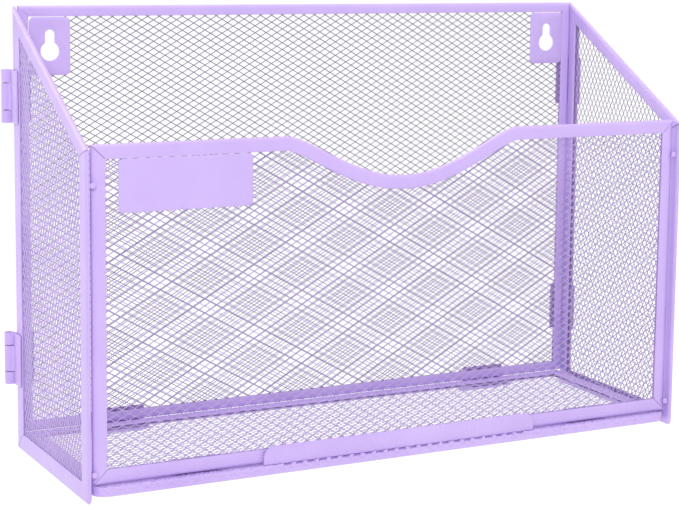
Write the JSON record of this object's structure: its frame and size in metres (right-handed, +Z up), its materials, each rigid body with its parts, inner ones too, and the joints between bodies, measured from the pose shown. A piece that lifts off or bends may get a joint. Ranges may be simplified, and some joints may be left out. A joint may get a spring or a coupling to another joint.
{
  "type": "hanging file rack",
  "caption": "Wall file pocket of diamond mesh in folded metal strips, with hinged side panels and a tray and front that fold flat.",
  "frame": {"origin": "middle of the rear face of the back's top strip, where the rack meets the wall", "axes": "+X to the right seen from the front, +Y into the wall, +Z up"},
  "size_m": [0.3402, 0.1151, 0.224],
  "materials": {
    "strip_coat": "lavender powder coat, satin",
    "mesh_coat": "lavender powder coat on expanded metal",
    "hinge_coat": "lavender powder coat, satin",
    "pin_steel": "steel pin under the same coat"
  },
  "bodies": {
    "back": {"back_bottom_strip": "strip_coat", "back_right_strip": "strip_coat", "back_top_strip": "strip_coat", "back_left_strip": "strip_coat", "back_mesh": "mesh_coat", "left_keyhole_plate": "strip_coat", "right_keyhole_plate": "strip_coat", "left_upper_hinge_still_leaf": "hinge_coat", "left_lower_hinge_still_leaf": "hinge_coat", "right_upper_hinge_still_leaf": "hinge_coat", "right_lower_hinge_still_leaf": "hinge_coat", "left_upper_hinge_pin": "pin_steel", "left_lower_hinge_pin": "pin_steel", "right_upper_hinge_pin": "pin_steel", "right_lower_hinge_pin": "pin_steel", "left_tray_hinge_still_leaf": "hinge_coat", "left_tray_hinge_pin": "pin_steel", "right_tray_hinge_still_leaf": "hinge_coat", "right_tray_hinge_pin": "pin_steel"},
    "left_side": {"left_side_bottom_strip": "strip_coat", "left_side_front_strip": "strip_coat", "left_side_top_strip": "strip_coat", "left_side_rear_strip": "strip_coat", "left_side_mesh": "mesh_coat", "left_upper_catch": "strip_coat", "left_lower_catch": "strip_coat", "left_upper_hinge_moving_leaf": "hinge_coat", "left_lower_hinge_moving_leaf": "hinge_coat"},
    "right_side": {"right_side_bottom_strip": "strip_coat", "right_side_front_strip": "strip_coat", "right_side_top_strip": "strip_coat", "right_side_rear_strip": "strip_coat", "right_side_mesh": "mesh_coat", "right_upper_catch": "strip_coat", "right_lower_catch": "strip_coat", "right_upper_hinge_moving_leaf": "hinge_coat", "right_lower_hinge_moving_leaf": "hinge_coat"},
    "tray": {"tray_mesh": "mesh_coat", "tray_left_strip": "strip_coat", "tray_rear_strip": "strip_coat", "tray_right_strip": "strip_coat", "tray_front_strip": "strip_coat", "left_tray_hinge_moving_leaf": "hinge_coat", "right_tray_hinge_moving_leaf": "hinge_coat", "left_front_hinge_still_leaf": "hinge_coat", "left_front_hinge_pin": "pin_steel", "right_front_hinge_still_leaf": "hinge_coat", "right_front_hinge_pin": "pin_steel"},
    "front_panel": {"front_bottom_strip": "strip_coat", "front_right_strip": "strip_coat", "front_top_strip": "strip_coat", "front_left_strip": "strip_coat", "front_mesh": "mesh_coat", "label_plate": "strip_coat", "left_front_hinge_moving_leaf": "hinge_coat", "right_front_hinge_moving_leaf": "hinge_coat"}
  },
  "joints": [
    {"name": "left_swing", "type": "hinge", "parent": "back", "child": "left_side", "pos_m": [-0.1677, 0.0027, -0.1085], "axis": [0, 0, -1], "range_deg": [0, 270]},
    {"name": "right_swing", "type": "hinge", "parent": "back", "child": "right_side", "pos_m": [0.1677, 0.0027, -0.1085], "axis": [0, 0, 1], "range_deg": [0, 270]},
    {"name": "tray_fold", "type": "hinge", "parent": "back", "child": "tray", "pos_m": [0, 0.0027, -0.2184], "axis": [1, 0, 0], "range_deg": [0, 90]},
    {"name": "front_fold", "type": "hinge", "parent": "tray", "child": "front_panel", "pos_m": [0, -0.1022, -0.2116], "axis": [-1, 0, 0], "range_deg": [0, 90]}
  ],
  "couplings": [
    {"joint": "front_fold", "follows": "tray_fold", "ratio": 1}
  ]
}
